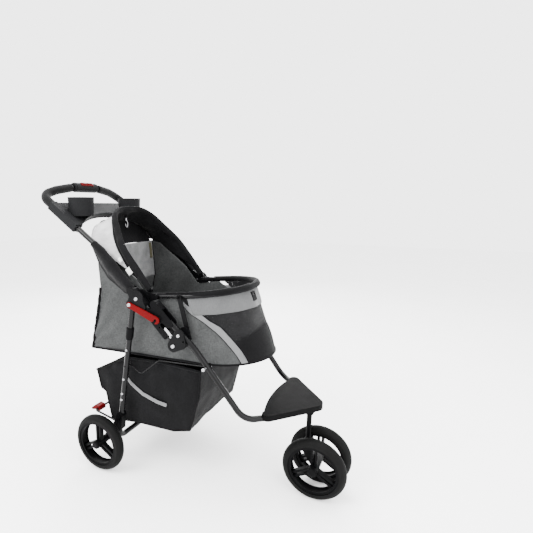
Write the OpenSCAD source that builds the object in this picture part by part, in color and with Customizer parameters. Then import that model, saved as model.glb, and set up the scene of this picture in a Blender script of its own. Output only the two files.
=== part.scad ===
// Three-wheeled folding pet stroller, standing open on its wheels.
// +X is forward, +Y is to the stroller's left, +Z is up, the ground is z = 0.
// Points written as [x, z] lie in a side frame; x is measured from the rear axle.

/* [Overall] */
// Distance between the side frames' tube axes
frame_w = 400; // [360:1:480]
// Distance from a side frame's axis out to its rear wheel's centre plane
wheel_out = 51; // [49:1:61]
// Distance from the rear axle to the caster's swivel axis
wheel_base = 658; // [620:1:790]
// Height of the handle's cross bar above the ground
handle_h = 977; // [950:1:1100]

/* [Wheels] */
// Diameter of all four wheels
wheel_d = 200; // [165:1:210]
// Width of a tyre
tyre_w = 36; // [28:1:40]
// Height of the tyre's section from bead to tread
tyre_h = 21; // [17:1:25]
// Diameter of the wheel axles
axle_d = 10; // [8:1:12]
// Distance between the centre planes of the two front wheels
twin_w = 88; // [84:1:110]
// Distance that the front axle trails from the swivel axis
trail = 32; // [25:1:40]
// Diameter of the caster's stem
stem_d = 16; // [13:1:20]

/* [Frame tubes] */
// Diameter of the main tubes
tube_d = 19; // [16:1:21]
// Wall of the main tubes
tube_wall = 1.5; // [1.2:0.1:2]
// Diameter of the cabin rim's tube
rim_tube_d = 14; // [12:1:16]
// Diameter of the canopy's front hoop
hoop_d = 10; // [8:1:12]
// Diameter of the basket's wires
wire_d = 6; // [4:0.5:7]
// Diameter of the pivot bolts
bolt_d = 8; // [6:0.5:9]
// Thickness of the steel pivot plates
plate_t = 4; // [3:0.5:4.5]

/* [Handle] */
// Outer diameter of the foam grips
grip_d = 31; // [28:1:36]
// Outer diameter of the release housing
housing_d = 36; // [32:1:40]
// Length of the release housing
housing_l = 132; // [110:1:150]
// Travel of the release button
button_travel = 5; // [3:0.5:6]
// Inner diameter of a cup holder
cup_d = 82; // [70:1:90]
// Wall of a cup holder
cup_wall = 2.5; // [2:0.1:3.5]
// Depth of a cup holder
cup_depth = 62; // [50:1:70]
// Distance between the two cup holders' axes
cup_gap = 268; // [240:1:280]

/* [Cabin] */
// Width of the cabin, between the axes of its rim tube's sides
cabin_w = 336; // [310:1:340]
// Thickness of the padded fabric
cloth_t = 3; // [2:0.5:4]
// Thickness of the floor board
board_t = 6; // [4:1:9]
// Height of the grey band round the cabin's front
band_h = 52; // [40:1:60]

/* [Foot plate] */
// Width across the foot plate's rear corners
foot_w = 316; // [280:1:330]
// Thickness of the foot plate
foot_t = 18; // [15:1:22]
// Height of the foot plate's top above the ground
foot_h = 302; // [290:1:330]

/* [Basket] */
// Width of the basket
basket_w = 340; // [300:1:346]

/* [Hidden] */

$fn = 64;
eps = 0.01;
// Running clearance of a bore on its pin, as a radius
run = 0.06;
// Clearance between neighbours that move past each other
gap = 0.5;
wr = wheel_d / 2;
track_w = frame_w + 2 * wheel_out;
fy = frame_w / 2;
tr = tube_d / 2;
br = bolt_d / 2;
ar = axle_d / 2;

// Side frame points, [x, z]
leg_pivot = [123, 599];
cabin_pivot = [148, 620];
front_pivot = [284, 487];
rivet_at = [303, 523];
latch_at = [276, 515];
cover_screw = [233, 538];
handle_bend = [-3, 768];
cross_x = 42;
cross_z = wr + 4;
leg_dir = (leg_pivot - [cross_x, cross_z]) / norm(leg_pivot - [cross_x, cross_z]);
low_dir = (cabin_pivot - front_pivot) / norm(cabin_pivot - front_pivot);
low_nrm = [-low_dir[1], low_dir[0]];
stud_at = [392, 434];
rail_pivot = leg_pivot - leg_dir * 222;
strut_top = [286, 633];
strut_low = [321, 507];
hinge_at = [172, 645];

// Handle loop
arm_dir = [-cos(34.2), sin(34.2)];
bar_x = -254;
arm_top = [bar_x - 9, handle_bend[1] + (handle_bend[0] - bar_x + 9) * tan(34.2)];
bar_at = [bar_x, handle_h];
housing_y = housing_l / 2;

// Layers across a side frame, as distances from the middle
plate_out = fy + tr + 3.5;
plate_in = fy - tr - 3.5 - plate_t;
link_out = plate_out + plate_t + gap;
link_t = 4;
thin_t = 4.5;
thin_in = plate_in - gap - thin_t;
cover_t = 2 * (tr + 3);
rim_y = cabin_w / 2;

// Shift that puts the origin under the middle of the standing stroller
x_back = bar_x - 9 - grip_d / 2;
x_front = wheel_base + trail + wr;
ox = -(x_back + x_front) / 2;

function p3(p, y) = [p[0], y, p[1]];
function unit(v) = v / norm(v);
function mirror_y(p) = [p[0], -p[1], p[2]];
function flip(pts) = [for (i = [len(pts) - 1:-1:0]) mirror_y(pts[i])];

// Rigid placement whose z axis points along w and whose x axis points along u
module frame_at(o, u, w) {
  v = cross(w, u);
  multmatrix([[u[0], v[0], w[0], o[0]], [u[1], v[1], w[1], o[1]], [u[2], v[2], w[2], o[2]], [0, 0, 0, 1]])
    children();
}

function any_side(w) = unit(abs(w[2]) < 0.9 ? cross([0, 0, 1], w) : cross([1, 0, 0], w));

module rod(a, b, r) {
  w = unit(b - a);
  frame_at(a, any_side(w), w) cylinder(h = norm(b - a), r = r);
}

// Bar of round section through points, with a bend of radius rad at each inner one.
// A bend is swelled by a hair, and the straight lengths end just inside it.
lap = 0.8;
swell = 0.08;

module bent_rod(pts, rad, r) {
  n = len(pts);
  dirs = [for (i = [0:n - 2]) unit(pts[i + 1] - pts[i])];
  turn = [for (i = [0:n - 1]) i == 0 || i == n - 1 ? 0 : acos(min(1, dirs[i - 1] * dirs[i]))];
  cut = [for (i = [0:n - 1]) i == 0 || i == n - 1 ? 0 : rad[i - 1] * tan(turn[i] / 2)];
  for (i = [0:n - 2])
    rod(pts[i] + dirs[i] * (cut[i] - (i == 0 ? 0 : lap)), pts[i + 1] - dirs[i] * (cut[i + 1] - (i == n - 2 ? 0 : lap)), r);
  for (i = [1:n - 2]) {
    w = unit(cross(dirs[i - 1], dirs[i]));
    inward = unit(dirs[i] - dirs[i - 1]);
    mid = pts[i] + inward * rad[i - 1] / cos(turn[i] / 2);
    u = unit(pts[i] - dirs[i - 1] * cut[i] - mid);
    frame_at(mid, u, w) rotate_extrude(angle = turn[i]) translate([rad[i - 1], 0]) circle(r = r + swell);
  }
}

function longer(pts, d) = let (n = len(pts)) [for (i = [0:n - 1])
  i == 0 ? pts[0] + unit(pts[0] - pts[1]) * d : i == n - 1 ? pts[i] + unit(pts[i] - pts[i - 1]) * d : pts[i]];

module bent_tube(pts, rad, d, wall) {
  difference() {
    bent_rod(pts, rad, d / 2);
    bent_rod(longer(pts, 1), rad, d / 2 - wall);
  }
}

// Round bar along Y at a side frame point, from y0 to y1
module pin(p, y0, y1, r) {
  translate([p[0], max(y0, y1), p[1]]) rotate([90, 0, 0]) cylinder(h = abs(y1 - y0), r = r);
}

// Flat shape drawn in the side view and given thickness from y0 to y1
module slab(y0, y1) {
  translate([0, max(y0, y1), 0]) rotate([90, 0, 0]) linear_extrude(height = abs(y1 - y0)) children();
}

// Straight bar of the side view with round ends, a hair slimmer than the ends
module bar2d(a, b, ra, rb) {
  d = norm(b - a);
  n = [-(b - a)[1], (b - a)[0]] / d * 0.985;
  translate(a) circle(r = ra);
  translate(b) circle(r = rb);
  polygon([a + n * ra, b + n * rb, b - n * rb, a - n * ra]);
}

module sided(s) {
  if (s < 0) children();
  else mirror([0, 1, 0]) children();
}

module both() {
  children();
  mirror([0, 1, 0]) children();
}

module stand() {
  translate([ox, 0, 0]) children();
}

// Button head of a bolt whose outer face looks towards -Y
module head(p, y, r, h) {
  translate([p[0], -y, p[1]]) rotate([90, 0, 0]) {
    difference() {
      cylinder(h = h, r1 = r, r2 = r * 0.75);
      translate([0, 0, h - 1.2]) cylinder(h = 2, r = r * 0.35, $fn = 6);
    }
  }
}

/* Rear frame */

leg_top = leg_pivot + leg_dir * 14;
leg_end = [cross_x, cross_z];

module rear_frame_tube() {
  pts = [p3(leg_top, -fy), p3(leg_end, -fy), p3(leg_end, fy), p3(leg_top, fy)];
  color("#151515") stand() difference() {
    bent_tube(pts, [32, 32], tube_d, tube_wall);
    both() pin(leg_pivot, -fy - tr - 1, -fy + tr + 1, br + run);
    both() pin(rail_pivot, -fy - tr - 1, -fy + tr + 1, 3);
  }
}

bracket_low = leg_end + leg_dir * 46;
bracket_high = leg_end + leg_dir * 92;

module rear_wheel_bracket(s) {
  axle = [0, wr];
  color("#202020") stand() sided(s) difference() {
    union() {
      slab(-fy - tr - 3, -fy + tr + 3) {
        bar2d(bracket_low, bracket_high, tr + 4, tr + 3);
        bar2d(bracket_low, axle, tr + 3, ar + 9);
      }
      pin(axle, -track_w / 2 + 21, -fy, ar + 8);
      slab(-fy - tr - 8, -fy - tr - 2) bar2d(axle, bracket_high, 6, 5);
    }
    rod(p3(leg_end, -fy), p3(leg_end + leg_dir * 140, -fy), tr);
    pin(axle, -track_w / 2, -fy + tr - 2, ar);
    pin(cross_axle(), -fy - tr - 1, -fy + tr + 4, 4 + run);
    bent_rod([p3(leg_end + leg_dir * 60, -fy), p3(leg_end, -fy), p3(leg_end, 0)], [32], tr);
  }
}

function cross_axle() = [16, wr + 44];

module rear_axles() {
  color("silver") stand() both() {
    pin([0, wr], -track_w / 2 - 23, -fy + tr - 2, ar);
  }
}

module leg_collars() {
  low = leg_pivot - leg_dir * 118;
  color("#1b1b1b") stand() both() difference() {
    union() {
      rod(p3(low, -fy), p3(low + leg_dir * 34, -fy), tr + 3.5);
      rod(p3(low - leg_dir * 6, -fy), p3(low + leg_dir * 2, -fy), tr + 2);
    }
    rod(p3(low - leg_dir * 8, -fy), p3(low + leg_dir * 40, -fy), tr);
  }
}

leg_screws = [162, 270, 325, 348];

module leg_fasteners() {
  color("silver") stand() both() difference() {
    for (s = leg_screws) head(leg_pivot - leg_dir * s, fy + tr - 1.2, 4.5, 3.2);
    bent_rod([p3(leg_top, -fy), p3(leg_end, -fy)], [], tr);
  }
}

/* Wheels: built about the Y axis through the origin */

module tyre(grooves = 3) {
  rotate([90, 0, 0]) rotate_extrude($fn = 96) difference() {
    intersection() {
      translate([wr - tyre_w / 2 - 1, 0]) circle(r = tyre_w / 2 + 1);
      translate([wr - tyre_h, -tyre_w / 2]) square([tyre_h, tyre_w]);
    }
    for (k = [0:grooves - 1])
      translate([wr - 1.6, (k - (grooves - 1) / 2) * 7 - 0.8]) square([3, 1.6]);
  }
}

rim_r = wr - tyre_h;
hub_w = 40;
hub_r = 15;

module spoke_pair() {
  for (k = [-1, 1])
    translate([hub_r - 4, k * 7 - 3.5, -8]) cube([rim_r - hub_r + 2, 7, 16]);
}

module rim() {
  rotate([90, 0, 0]) difference() {
    union() {
      rotate_extrude($fn = 96) {
        translate([rim_r - 4, -15]) square([4, 30]);
        translate([rim_r - 9, -15]) square([6, 3]);
        translate([rim_r - 9, 12]) square([6, 3]);
      }
      translate([0, 0, -hub_w / 2]) cylinder(h = hub_w, r = hub_r);
      for (a = [90:120:330]) rotate([0, 0, a]) spoke_pair();
    }
    translate([0, 0, -hub_w]) cylinder(h = 2 * hub_w, r = ar + run);
  }
}

module cap() {
  rotate([90, 0, 0]) translate([0, 0, hub_w / 2]) difference() {
    union() {
      cylinder(h = 5, r = hub_r - 1);
      translate([0, 0, 5]) cylinder(h = 3, r1 = hub_r - 1, r2 = hub_r - 6);
    }
    translate([0, 0, -1]) cylinder(h = 5, r = ar + 1);
  }
}

module rear_at(s) {
  stand() sided(s) translate([0, -track_w / 2, wr]) children();
}

module front_at(s) {
  stand() sided(s) translate([wheel_base + trail, -twin_w / 2, wr]) children();
}

module rear_tyre(s) { color("#1c1c1c") rear_at(s) tyre(); }
module rear_rim(s) { color("#232323") rear_at(s) rim(); }
module rear_cap(s) { color("#2b2b2b") rear_at(s) cap(); }
module front_tyre(s) { color("#1c1c1c") front_at(s) tyre(); }
module front_rim(s) { color("#232323") front_at(s) rim(); }
module front_cap(s) { color("#2b2b2b") front_at(s) cap(); }

/* Brake */

brake_back = [-88, wr + 62];
// Half of a brake pedal's width, and the radii along its dome
pedal_half = 16;
pedal_r = [11, 8.5, 5];
brake_r = 4;
brake_y = fy + 24;

module brake_bar() {
  p = cross_axle();
  pts = [p3(p, -fy + tr + 2.8), p3(p, -fy + tr + 16), p3(brake_back, -fy + tr + 16), p3(brake_back, fy - tr - 16),
    p3(p, fy - tr - 16), p3(p, fy - tr - 2.8)];
  color("#111111") stand() {
    bent_rod(pts, [7, 10, 10, 7], brake_r);
    both() pin(p, -fy - tr, -fy + tr + 4, brake_r);
  }
}

module brake_pedals() {
  y_mid = fy - tr - 43;
  knee = brake_back + [-10, 4];
  tip = brake_back + [-26, -4];
  color("#c01828") stand() both() difference() {
    slab(-y_mid - pedal_half, -y_mid + pedal_half) {
      bar2d(brake_back, knee, pedal_r[0], pedal_r[1]);
      bar2d(knee, tip, pedal_r[1], pedal_r[2]);
    }
    pin(brake_back, -fy, 0, brake_r);
  }
}

/* Handle frame */

tube_low = front_pivot - low_dir * 13;

function handle_half() = [p3(tube_low, -fy), p3(handle_bend, -fy), p3(arm_top, -fy),
  [bar_x - 4, -fy + 62, handle_h - 13], [bar_x, -housing_y + 6, handle_h],
  [bar_x, 0, handle_h]];

function handle_pts() = let (h = handle_half()) concat([for (i = [0:4]) h[i]], [for (i = [4:-1:0]) mirror_y(h[i])]);

handle_rad = [70, 40, 60, 60, 60, 60, 40, 70];

module handle_tube() {
  color("#161616") stand() difference() {
    bent_tube(handle_pts(), handle_rad, tube_d, tube_wall);
    both() {
      pin(cabin_pivot, -fy - tr - 1, -fy + tr + 1, br);
      pin(front_pivot, -fy - tr - 1, -fy + tr + 1, br);
    }
  }
}

tray_u = 255;
grip_low = handle_bend + arm_dir * (tray_u + 1);

module grip(s) {
  h = handle_half();
  start = p3(grip_low, -fy);
  end = [bar_x, -housing_y - 0.3, handle_h];
  d = unit(h[4] - h[3]);
  color("#1a1a1a") stand() sided(s) difference() {
    bent_rod([start, h[2], h[3], h[4] - d * 14], [40, 60], grip_d / 2);
    bent_rod([p3(handle_bend, -fy), h[2], h[3], h[4] + d * 30], [40, 60], tr);
  }
}

button_dir = unit([0.72, 0, 0.69]);

module button_pocket(w, h) {
  frame_at([bar_x, 0, handle_h], [0, 1, 0], button_dir) translate([-w / 2, -h / 2, tr - 1]) cube([w, h, 30]);
}

module housing_body() {
  r = housing_d / 2;
  difference() {
    union() {
      pin([bar_x, handle_h], -housing_y + 12, housing_y - 12, r);
      both() pin([bar_x, handle_h], -housing_y + 6, -housing_y + 12, r - 1.5);
    }
    pin([bar_x, handle_h], -housing_y - 1, housing_y + 1, tr + 0.1);
    both() pin([bar_x, handle_h], -housing_y - 1, -housing_y + 13, tr + 0.8);
    button_pocket(62, 14.6);
  }
}

module release_housing_upper() {
  color("#4a4b4d") stand() intersection() {
    housing_body();
    translate([bar_x - 60, -housing_l, handle_h]) cube([120, 2 * housing_l, 60]);
  }
}

module release_housing_lower() {
  color("#3c3d3f") stand() difference() {
    housing_body();
    translate([bar_x - 60, -housing_l, handle_h]) cube([120, 2 * housing_l, 60]);
  }
}

module release_button() {
  z0 = tr + 0.5 + button_travel;
  color("#c01828") stand() frame_at([bar_x, 0, handle_h], [0, 1, 0], button_dir) {
    translate([-30, -6.8, z0]) cube([60, 13.6, housing_d / 2 + 2.5 - z0]);
    translate([-25, 0, housing_d / 2 + 1]) rotate([0, 90, 0]) cylinder(h = 22, r = 4.5);
    translate([3, 0, housing_d / 2 + 1]) rotate([0, 90, 0]) cylinder(h = 22, r = 4.5);
  }
}

// Tray: drawn along the handle's arms, u forward and down, w away from the arms' plane
tray_rot = 34.2;
tray_o = handle_bend + arm_dir * tray_u;
tray_l = 141;
tray_mid = 67;
tray_arc = 273;
tray_t = 4;
tray_w = 6;
clamp_w = tr + 5;
cup_x = -144;
cup_top = handle_h - 39;

module tray_frame() {
  translate([tray_o[0], 0, tray_o[1]]) rotate([0, tray_rot, 0]) children();
}

module tray_outline() {
  difference() {
    translate([0, -fy - clamp_w]) square([tray_l, 2 * (fy + clamp_w)]);
    translate([tray_mid + tray_arc, 0]) circle(r = tray_arc, $fn = 128);
  }
}

module cup_outer(extra) {
  r1 = cup_d / 2 + cup_wall;
  translate([cup_x, -cup_gap / 2, cup_top - cup_depth - cup_wall])
    cylinder(h = cup_depth + cup_wall + extra, r1 = r1 - 3 + 1.5, r2 = r1 + 1.5);
}

module cup_tray() {
  color("#454648") stand() difference() {
    union() {
      tray_frame() translate([0, 0, tray_w]) linear_extrude(height = tray_t) tray_outline();
      tray_frame() both() translate([0, -fy - clamp_w, -clamp_w]) cube([tray_l - 4, 2 * clamp_w, 2 * clamp_w]);
      tray_frame() intersection() {
        translate([0, 0, -clamp_w]) linear_extrude(height = clamp_w + tray_w + 1) difference() {
          tray_outline();
          translate([tray_mid + tray_arc, 0]) circle(r = tray_arc + 4, $fn = 128);
        }
        translate([10, -fy, -clamp_w]) cube([tray_l, 2 * fy, 60]);
      }
      both() intersection() {
        cup_outer(0);
        translate([cup_x - 100, -fy - 100, 0]) cube([200, 300, cup_top + 1]);
      }
    }
    both() rod(p3(handle_bend, -fy), p3(handle_bend + arm_dir * 300, -fy), tr);
    both() translate([cup_x, -cup_gap / 2, cup_top - cup_depth]) cylinder(h = cup_depth + 60, r = cup_d / 2);
    both() for (u = tray_holes) tray_frame() translate([u, -fy, -clamp_w - 1]) cylinder(h = clamp_w - tr + 1, r = 2.5);
  }
}

tray_holes = [28, 92];

module tray_screws() {
  color("#303030") stand() tray_frame() both() for (u = tray_holes) {
    translate([u, -fy, -clamp_w]) cylinder(h = clamp_w - tr, r = 2.5);
    translate([u, -fy, -clamp_w - 1.8]) cylinder(h = 1.8, r1 = 3.6, r2 = 4.5);
  }
}

module plate_shape() {
  difference() {
    union() {
      bar2d(leg_pivot, cabin_pivot, 14, 27);
      bar2d(cabin_pivot, cabin_pivot - low_dir * 34, 27, 12);
      bar2d(cabin_pivot, cabin_pivot + low_dir * 34, 24, 12);
    }
    translate(leg_pivot) circle(r = br);
    translate(cabin_pivot) circle(r = br);
  }
}

module pivot_plates(s) {
  color("#1c1c1c") stand() sided(s) {
    slab(-plate_out, -plate_out - plate_t) plate_shape();
    slab(-plate_in, -plate_in - plate_t) plate_shape();
    difference() {
      slab(-plate_in - plate_t, -plate_out) bar2d(cabin_pivot - low_dir * 30, cabin_pivot + low_dir * 30, tr + 2, tr + 2);
      rod(p3(cabin_pivot - low_dir * 60, -fy), p3(cabin_pivot + low_dir * 60, -fy), tr);
      pin(cabin_pivot, -plate_out - 1, -plate_in + 1, br);
    }
  }
}

module pivot_bolts() {
  head_t = 3;
  color("silver") stand() both() {
    pin(leg_pivot, -link_out - link_t - gap, -plate_in, br);
    head(leg_pivot, link_out + link_t + gap, br + 2.5, head_t);
    pin(cabin_pivot, -plate_out - plate_t, -thin_in + gap, br);
    head(cabin_pivot, plate_out + plate_t, br + 2.5, head_t);
    pin(cabin_pivot, -thin_in + gap, -thin_in + gap + 2.5, br + 2.5);
    pin(front_pivot, -plate_out - plate_t - gap, -plate_in, br);
    head(front_pivot, plate_out + plate_t + gap, br + 2.5, head_t);
  }
}

// Latch cover: a moulded housing on the handle's lower tube, with a trough for the front tube
cover_a = cabin_pivot - low_dir * 56;
cover_b = front_pivot + low_dir * 40;
trough_top = [212, 607];
front_top = [263, 558];
front_dir = unit([352, 484] - front_top);

module latch_cover(s) {
  color("#1e1e1f") stand() sided(s) difference() {
    slab(-fy - cover_t / 2, -fy + cover_t / 2) union() {
      bar2d(cover_a, cover_b, tr + 3, tr + 3);
      bar2d(trough_top, front_top - front_dir * -6, tr + 4, tr + 4);
      polygon([cover_a, trough_top, front_top + front_dir * 6, cover_b]);
    }
    rod(p3(cover_a + low_dir * 60, -fy), p3(front_pivot - low_dir * 30, -fy), tr + run);
    hull_free_trough();
    latch_slot();
    pin(cover_screw, -fy - cover_t, -fy - tr + 1, 2.5);
    slab(-fy - 40, -fy + 40) translate(front_pivot) circle(r = 34);
  }
}

// Round-bottomed trough, open away from the handle's lower tube
module hull_free_trough() {
  out_n = [low_dir[1], -low_dir[0]];
  a = front_top - front_dir * 40;
  b = front_top + front_dir * 40;
  side = p3([-front_dir[1], front_dir[0]], 0);
  up = [side[0], 0, side[2]];
  rod(p3(a, -fy), p3(b, -fy), tr + 1.2);
  frame_at(p3(a, -fy), up, p3(front_dir, 0)) translate([0, -tr - 1.2, 0]) cube([40, 2 * tr + 2.4, norm(b - a)]);
}

module latch_slot() {
  slab(-fy - 40, -fy + 40) bar2d(latch_at - low_dir * 20, latch_at + low_dir * 46, 6.5, 6.5);
}

module latch_slider(s) {
  color("#bdbdbd") stand() sided(s) union() {
    slab(-fy - cover_t / 2 + 1, -fy + cover_t / 2 - 1) bar2d(latch_at + low_dir * 2, latch_at + low_dir * 30, 4.4, 4.4);
    pin(latch_at, -plate_out - plate_t - 1, -plate_in, 3);
  }
}

// Storage hook: a flat bar that swings on the leg's pivot bolt
hook_dir = unit([112, -41]);
hook_nrm = [-hook_dir[1], hook_dir[0]];
hook_l = 107;

module hook_link(s) {
  tip = leg_pivot + hook_dir * hook_l;
  color("#c01828") stand() sided(s) slab(-link_out, -link_out - link_t) difference() {
    union() {
      bar2d(leg_pivot, leg_pivot + hook_dir * (hook_l - 4), 9, 12);
      translate(tip + hook_dir * 2) circle(r = 12);
    }
    translate(leg_pivot) circle(r = br + run);
    bar2d(tip - hook_nrm * 1, tip - hook_nrm * 20 - hook_dir * 7, 4.6, 4.6);
  }
}

/* Front frame */

foot_z = foot_h - foot_t;
front_z = foot_z + 2;

function front_pts() = [p3(front_top, -fy), p3([352, 484], -fy), [wheel_base - 148, -fy + 15, front_z],
  [wheel_base - 98, -foot_w / 2 + 18, front_z], [wheel_base - 8, -24, front_z]];

module front_frame_tube() {
  color("#151515") stand() difference() {
    both() bent_tube(front_pts(), [160, 62, 60], tube_d, tube_wall);
    translate([wheel_base, 0, 0]) cylinder(h = 400, r = stem_d / 2 + 7);
    both() pin(rivet_at, -fy - tr - 1, -fy + tr + 1, 3 + run);
    both() pin(stud_at, -fy - tr - 1, -fy + tr + 12, 3 + run);
    both() pin(strut_low, -fy, -fy + tr + 12, 3 + run);
  }
}

module bracket_shape() {
  difference() {
    union() {
      bar2d(front_pivot, rivet_at + [4, 4], 19, 17);
      bar2d(rivet_at + [4, 4], front_pivot + [32, 10], 17, 14);
      bar2d(front_pivot, front_pivot + [32, 10], 19, 14);
    }
    translate(front_pivot) circle(r = br + run);
    translate(latch_at) circle(r = 3.6);
    bar2d(latch_at, latch_at + low_dir * 30 - low_nrm * 6, 3.6, 8);
    translate(rivet_at) circle(r = 3 + run);
    translate(strut_low) circle(r = 3 + run);
    latch_path();
  }
}

// Way that the latch pin takes as the bracket turns away from it
module latch_path() {
  r0 = norm(latch_at - front_pivot);
  difference() {
    translate(front_pivot) circle(r = r0 + 30);
    translate(front_pivot) circle(r = r0 - 3.6);
    a = atan2(latch_at[1] - front_pivot[1], latch_at[0] - front_pivot[0]);
    translate(front_pivot) rotate(a) translate([-60, -120]) square([120, 120]);
  }
}

module fold_brackets(s) {
  color("#1c1c1c") stand() sided(s) {
    slab(-plate_out, -plate_out - plate_t) bracket_shape();
    slab(-plate_in, -plate_in - plate_t) bracket_shape();
  }
}

module hook_studs() {
  color("silver") stand() both() {
    pin(stud_at, -link_out - link_t - 1, -thin_in - thin_t - 0.1, 3);
    head(stud_at, link_out + link_t + 1, 5.5, 2.5);
    pin(rivet_at, -plate_out - plate_t, -plate_in, 3);
    head(rivet_at, plate_out + plate_t, 5.5, 2.5);
    pin(strut_low, -fy, -thin_in, 3);
  }
}

nose_r = 34;
nose_x = wheel_base + 5;

module foot_outline() {
  hw = foot_w / 2;
  rc = 16;
  xr = wheel_base - 92;
  n = unit([hw - nose_r - rc + 12, nose_x - xr]);
  union() {
    difference() {
      translate([xr - 32, -hw + rc]) square([34, 2 * (hw - rc)]);
      difference() {
        translate([xr - 100, -hw]) square([150, 2 * hw]);
        translate([xr + 530, 0]) circle(r = 560, $fn = 256);
      }
    }
    for (k = [-1, 1]) translate([xr, k * (hw - rc)]) circle(r = rc);
    translate([nose_x, 0]) circle(r = nose_r);
    polygon([[xr, -hw + rc], [xr, hw - rc], [xr + n[0] * rc, hw - rc + n[1] * rc],
      [nose_x + n[0] * nose_r, n[1] * nose_r], [nose_x + n[0] * nose_r, -n[1] * nose_r],
      [xr + n[0] * rc, -(hw - rc) - n[1] * rc]]);
  }
}

module foot_plate() {
  color("#202021") stand() difference() {
    union() {
      translate([0, 0, foot_z]) linear_extrude(height = foot_t) foot_outline();
      both() translate([wheel_base - 88, -foot_w / 2 + 26, front_z - 4]) cylinder(h = 12, r = tr + 5);
    }
    both() bent_rod(front_pts(), [160, 62, 60], tr);
    translate([wheel_base, 0, 0]) cylinder(h = foot_h - 4, r = stem_d / 2 + 7);
  }
}

module caster_socket() {
  low = front_z - tr - 12;
  color("#1b1b1b") stand() translate([wheel_base, 0, 0]) difference() {
    union() {
      translate([0, 0, low]) cylinder(h = foot_h - 4 - low, r = stem_d / 2 + 7);
      translate([0, 0, low - 6]) cylinder(h = 6, r = stem_d / 2 + 4);
    }
    translate([0, 0, low - 7]) cylinder(h = foot_h - 16 - low + 7, r = stem_d / 2 + run);
  }
}

module caster_fork() {
  top = foot_h - 18;
  hub = [wheel_base + trail, wr];
  neck = [wheel_base, wr + 50];
  half = twin_w / 2 - hub_w / 2 - gap;
  color("#1d1d1e") stand() difference() {
    union() {
      translate([wheel_base, 0, neck[1]]) cylinder(h = top - neck[1], r = stem_d / 2);
      translate([wheel_base, 0, neck[1] + 14]) cylinder(h = 12, r1 = stem_d / 2 + 7, r2 = stem_d / 2 + 1);
      slab(-half, half) {
        bar2d(neck, hub, 16, ar + 10);
        bar2d(neck + [0, 14], hub + [0, 0], 12, ar + 10);
      }
    }
    pin(hub, -half - 1, half + 1, ar);
  }
}

module front_axle() {
  color("silver") stand() pin([wheel_base + trail, wr], -twin_w / 2 - 23, twin_w / 2 + 23, ar);
}

/* Cabin: hangs from the rim loop */

rim_slope = 0.105;
rim_x0 = 170;
rim_z0 = 622;
front_cx = 291;
function rim_z(x) = rim_z0 + rim_slope * (x - rim_x0);
rim_ang = atan(rim_slope);

module rim_plane(dz = 0) {
  translate([rim_x0, 0, rim_z0 + dz]) rotate([0, -rim_ang, 0]) children();
}

front_l = (front_cx - rim_x0) / cos(rim_ang);

module cabin_rim_tube() {
  r = rim_tube_d / 2;
  color("#141414") stand() rim_plane() difference() {
    union() {
      both() rod([0, -rim_y, 0], [front_l, -rim_y, 0], r);
      translate([front_l, 0, 0]) rotate([0, 0, -90]) rotate_extrude(angle = 180) translate([rim_y, 0]) circle(r = r);
    }
    both() rod([-1, -rim_y, 0], [front_l, -rim_y, 0], r - 1.2);
    translate([front_l, 0, 0]) rotate([0, 0, -90]) rotate_extrude(angle = 180) translate([rim_y, 0]) circle(r = r - 1.2);
    both() pin([strut_top[0] - rim_x0, 0], -rim_y - 10, -rim_y, 3);
  }
}

module rim_knuckles() {
  r = rim_tube_d / 2;
  color("#191919") stand() both() difference() {
    union() {
      slab(-thin_in, -thin_in - thin_t) difference() {
        bar2d(cabin_pivot, [rim_x0 + 26, rim_z(rim_x0 + 26)], 20, 11);
        translate(cabin_pivot) circle(r = br + run);
      }
      slab(-rim_y + r + 2, -thin_in - eps) bar2d([rim_x0 + 2, rim_z(rim_x0)], [rim_x0 + 26, rim_z(rim_x0 + 26)], r + 3, r + 3);
      pin([strut_top[0], rim_z(strut_top[0])], -thin_in, -rim_y, 5.5);
    }
    rim_plane() both() rod([-1, -rim_y, 0], [front_l + 2, -rim_y, 0], r + run);
    pin(hinge_at, -thin_in - 1, 0, 3 + run);
    pin(cabin_pivot, -thin_in, 0, br + 4);
  }
}

// Side outline of the fabric tub
tub_y = rim_y - 6;
back_low = [-96, 403];
back_mid = [-40, 628];
back_top = [-58, 770];
floor_front = [528, 440];
top_front = [front_cx + rim_y - 6, rim_z(front_cx + rim_y) - 12];
floor_slope = 0.05;
function floor_z(x) = back_low[1] + floor_slope * (x - back_low[0]);

// Solid of the tub's outside, shrunk by in on every wall
module tub_solid(in = 0, floor_in = 0) {
  rt = tub_y - in;
  intersection() {
    slab(-rt, rt) polygon([back_low + [in, floor_in], back_mid + [in, 0], back_top + [in, in > 0 ? 60 : 0],
      [back_top[0] + 42, back_top[1] + (in > 0 ? 60 : 0)], [rim_x0 - 62, rim_z0 + 52], [rim_x0 - 14, rim_z0 - 12 + (in > 0 ? 60 : 0)],
      [top_front[0] + 200, top_front[1] + 21 + (in > 0 ? 60 : 0)], [floor_front[0] + 120, floor_z(floor_front[0] + 120) + floor_in]]);
    front_cone(in);
  }
}

// Sloped round front of the tub, wider at the floor than at the rim
module front_cone(in) {
  lean = (floor_front[0] - top_front[0]) / (top_front[1] - floor_front[1]);
  z0 = 380;
  x0 = floor_front[0] + lean * (floor_front[1] - z0);
  multmatrix([[1, 0, -lean, x0 + lean * z0 - in], [0, 1, 0, 0], [0, 0, 1, 0], [0, 0, 0, 1]])
    translate([0, 0, z0]) linear_extrude(height = 420) union() {
      translate([-(tub_y), 0]) circle(r = tub_y - in * 0.4, $fn = 96);
      translate([-1200, -(tub_y)]) square([1200 - tub_y, 2 * tub_y]);
    }
}

module cabin_shell() {
  color("#6f7272") stand() difference() {
    tub_solid(0, 0);
    tub_solid(cloth_t, cloth_t);
    mesh_zone(0);
  }
}

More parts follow.
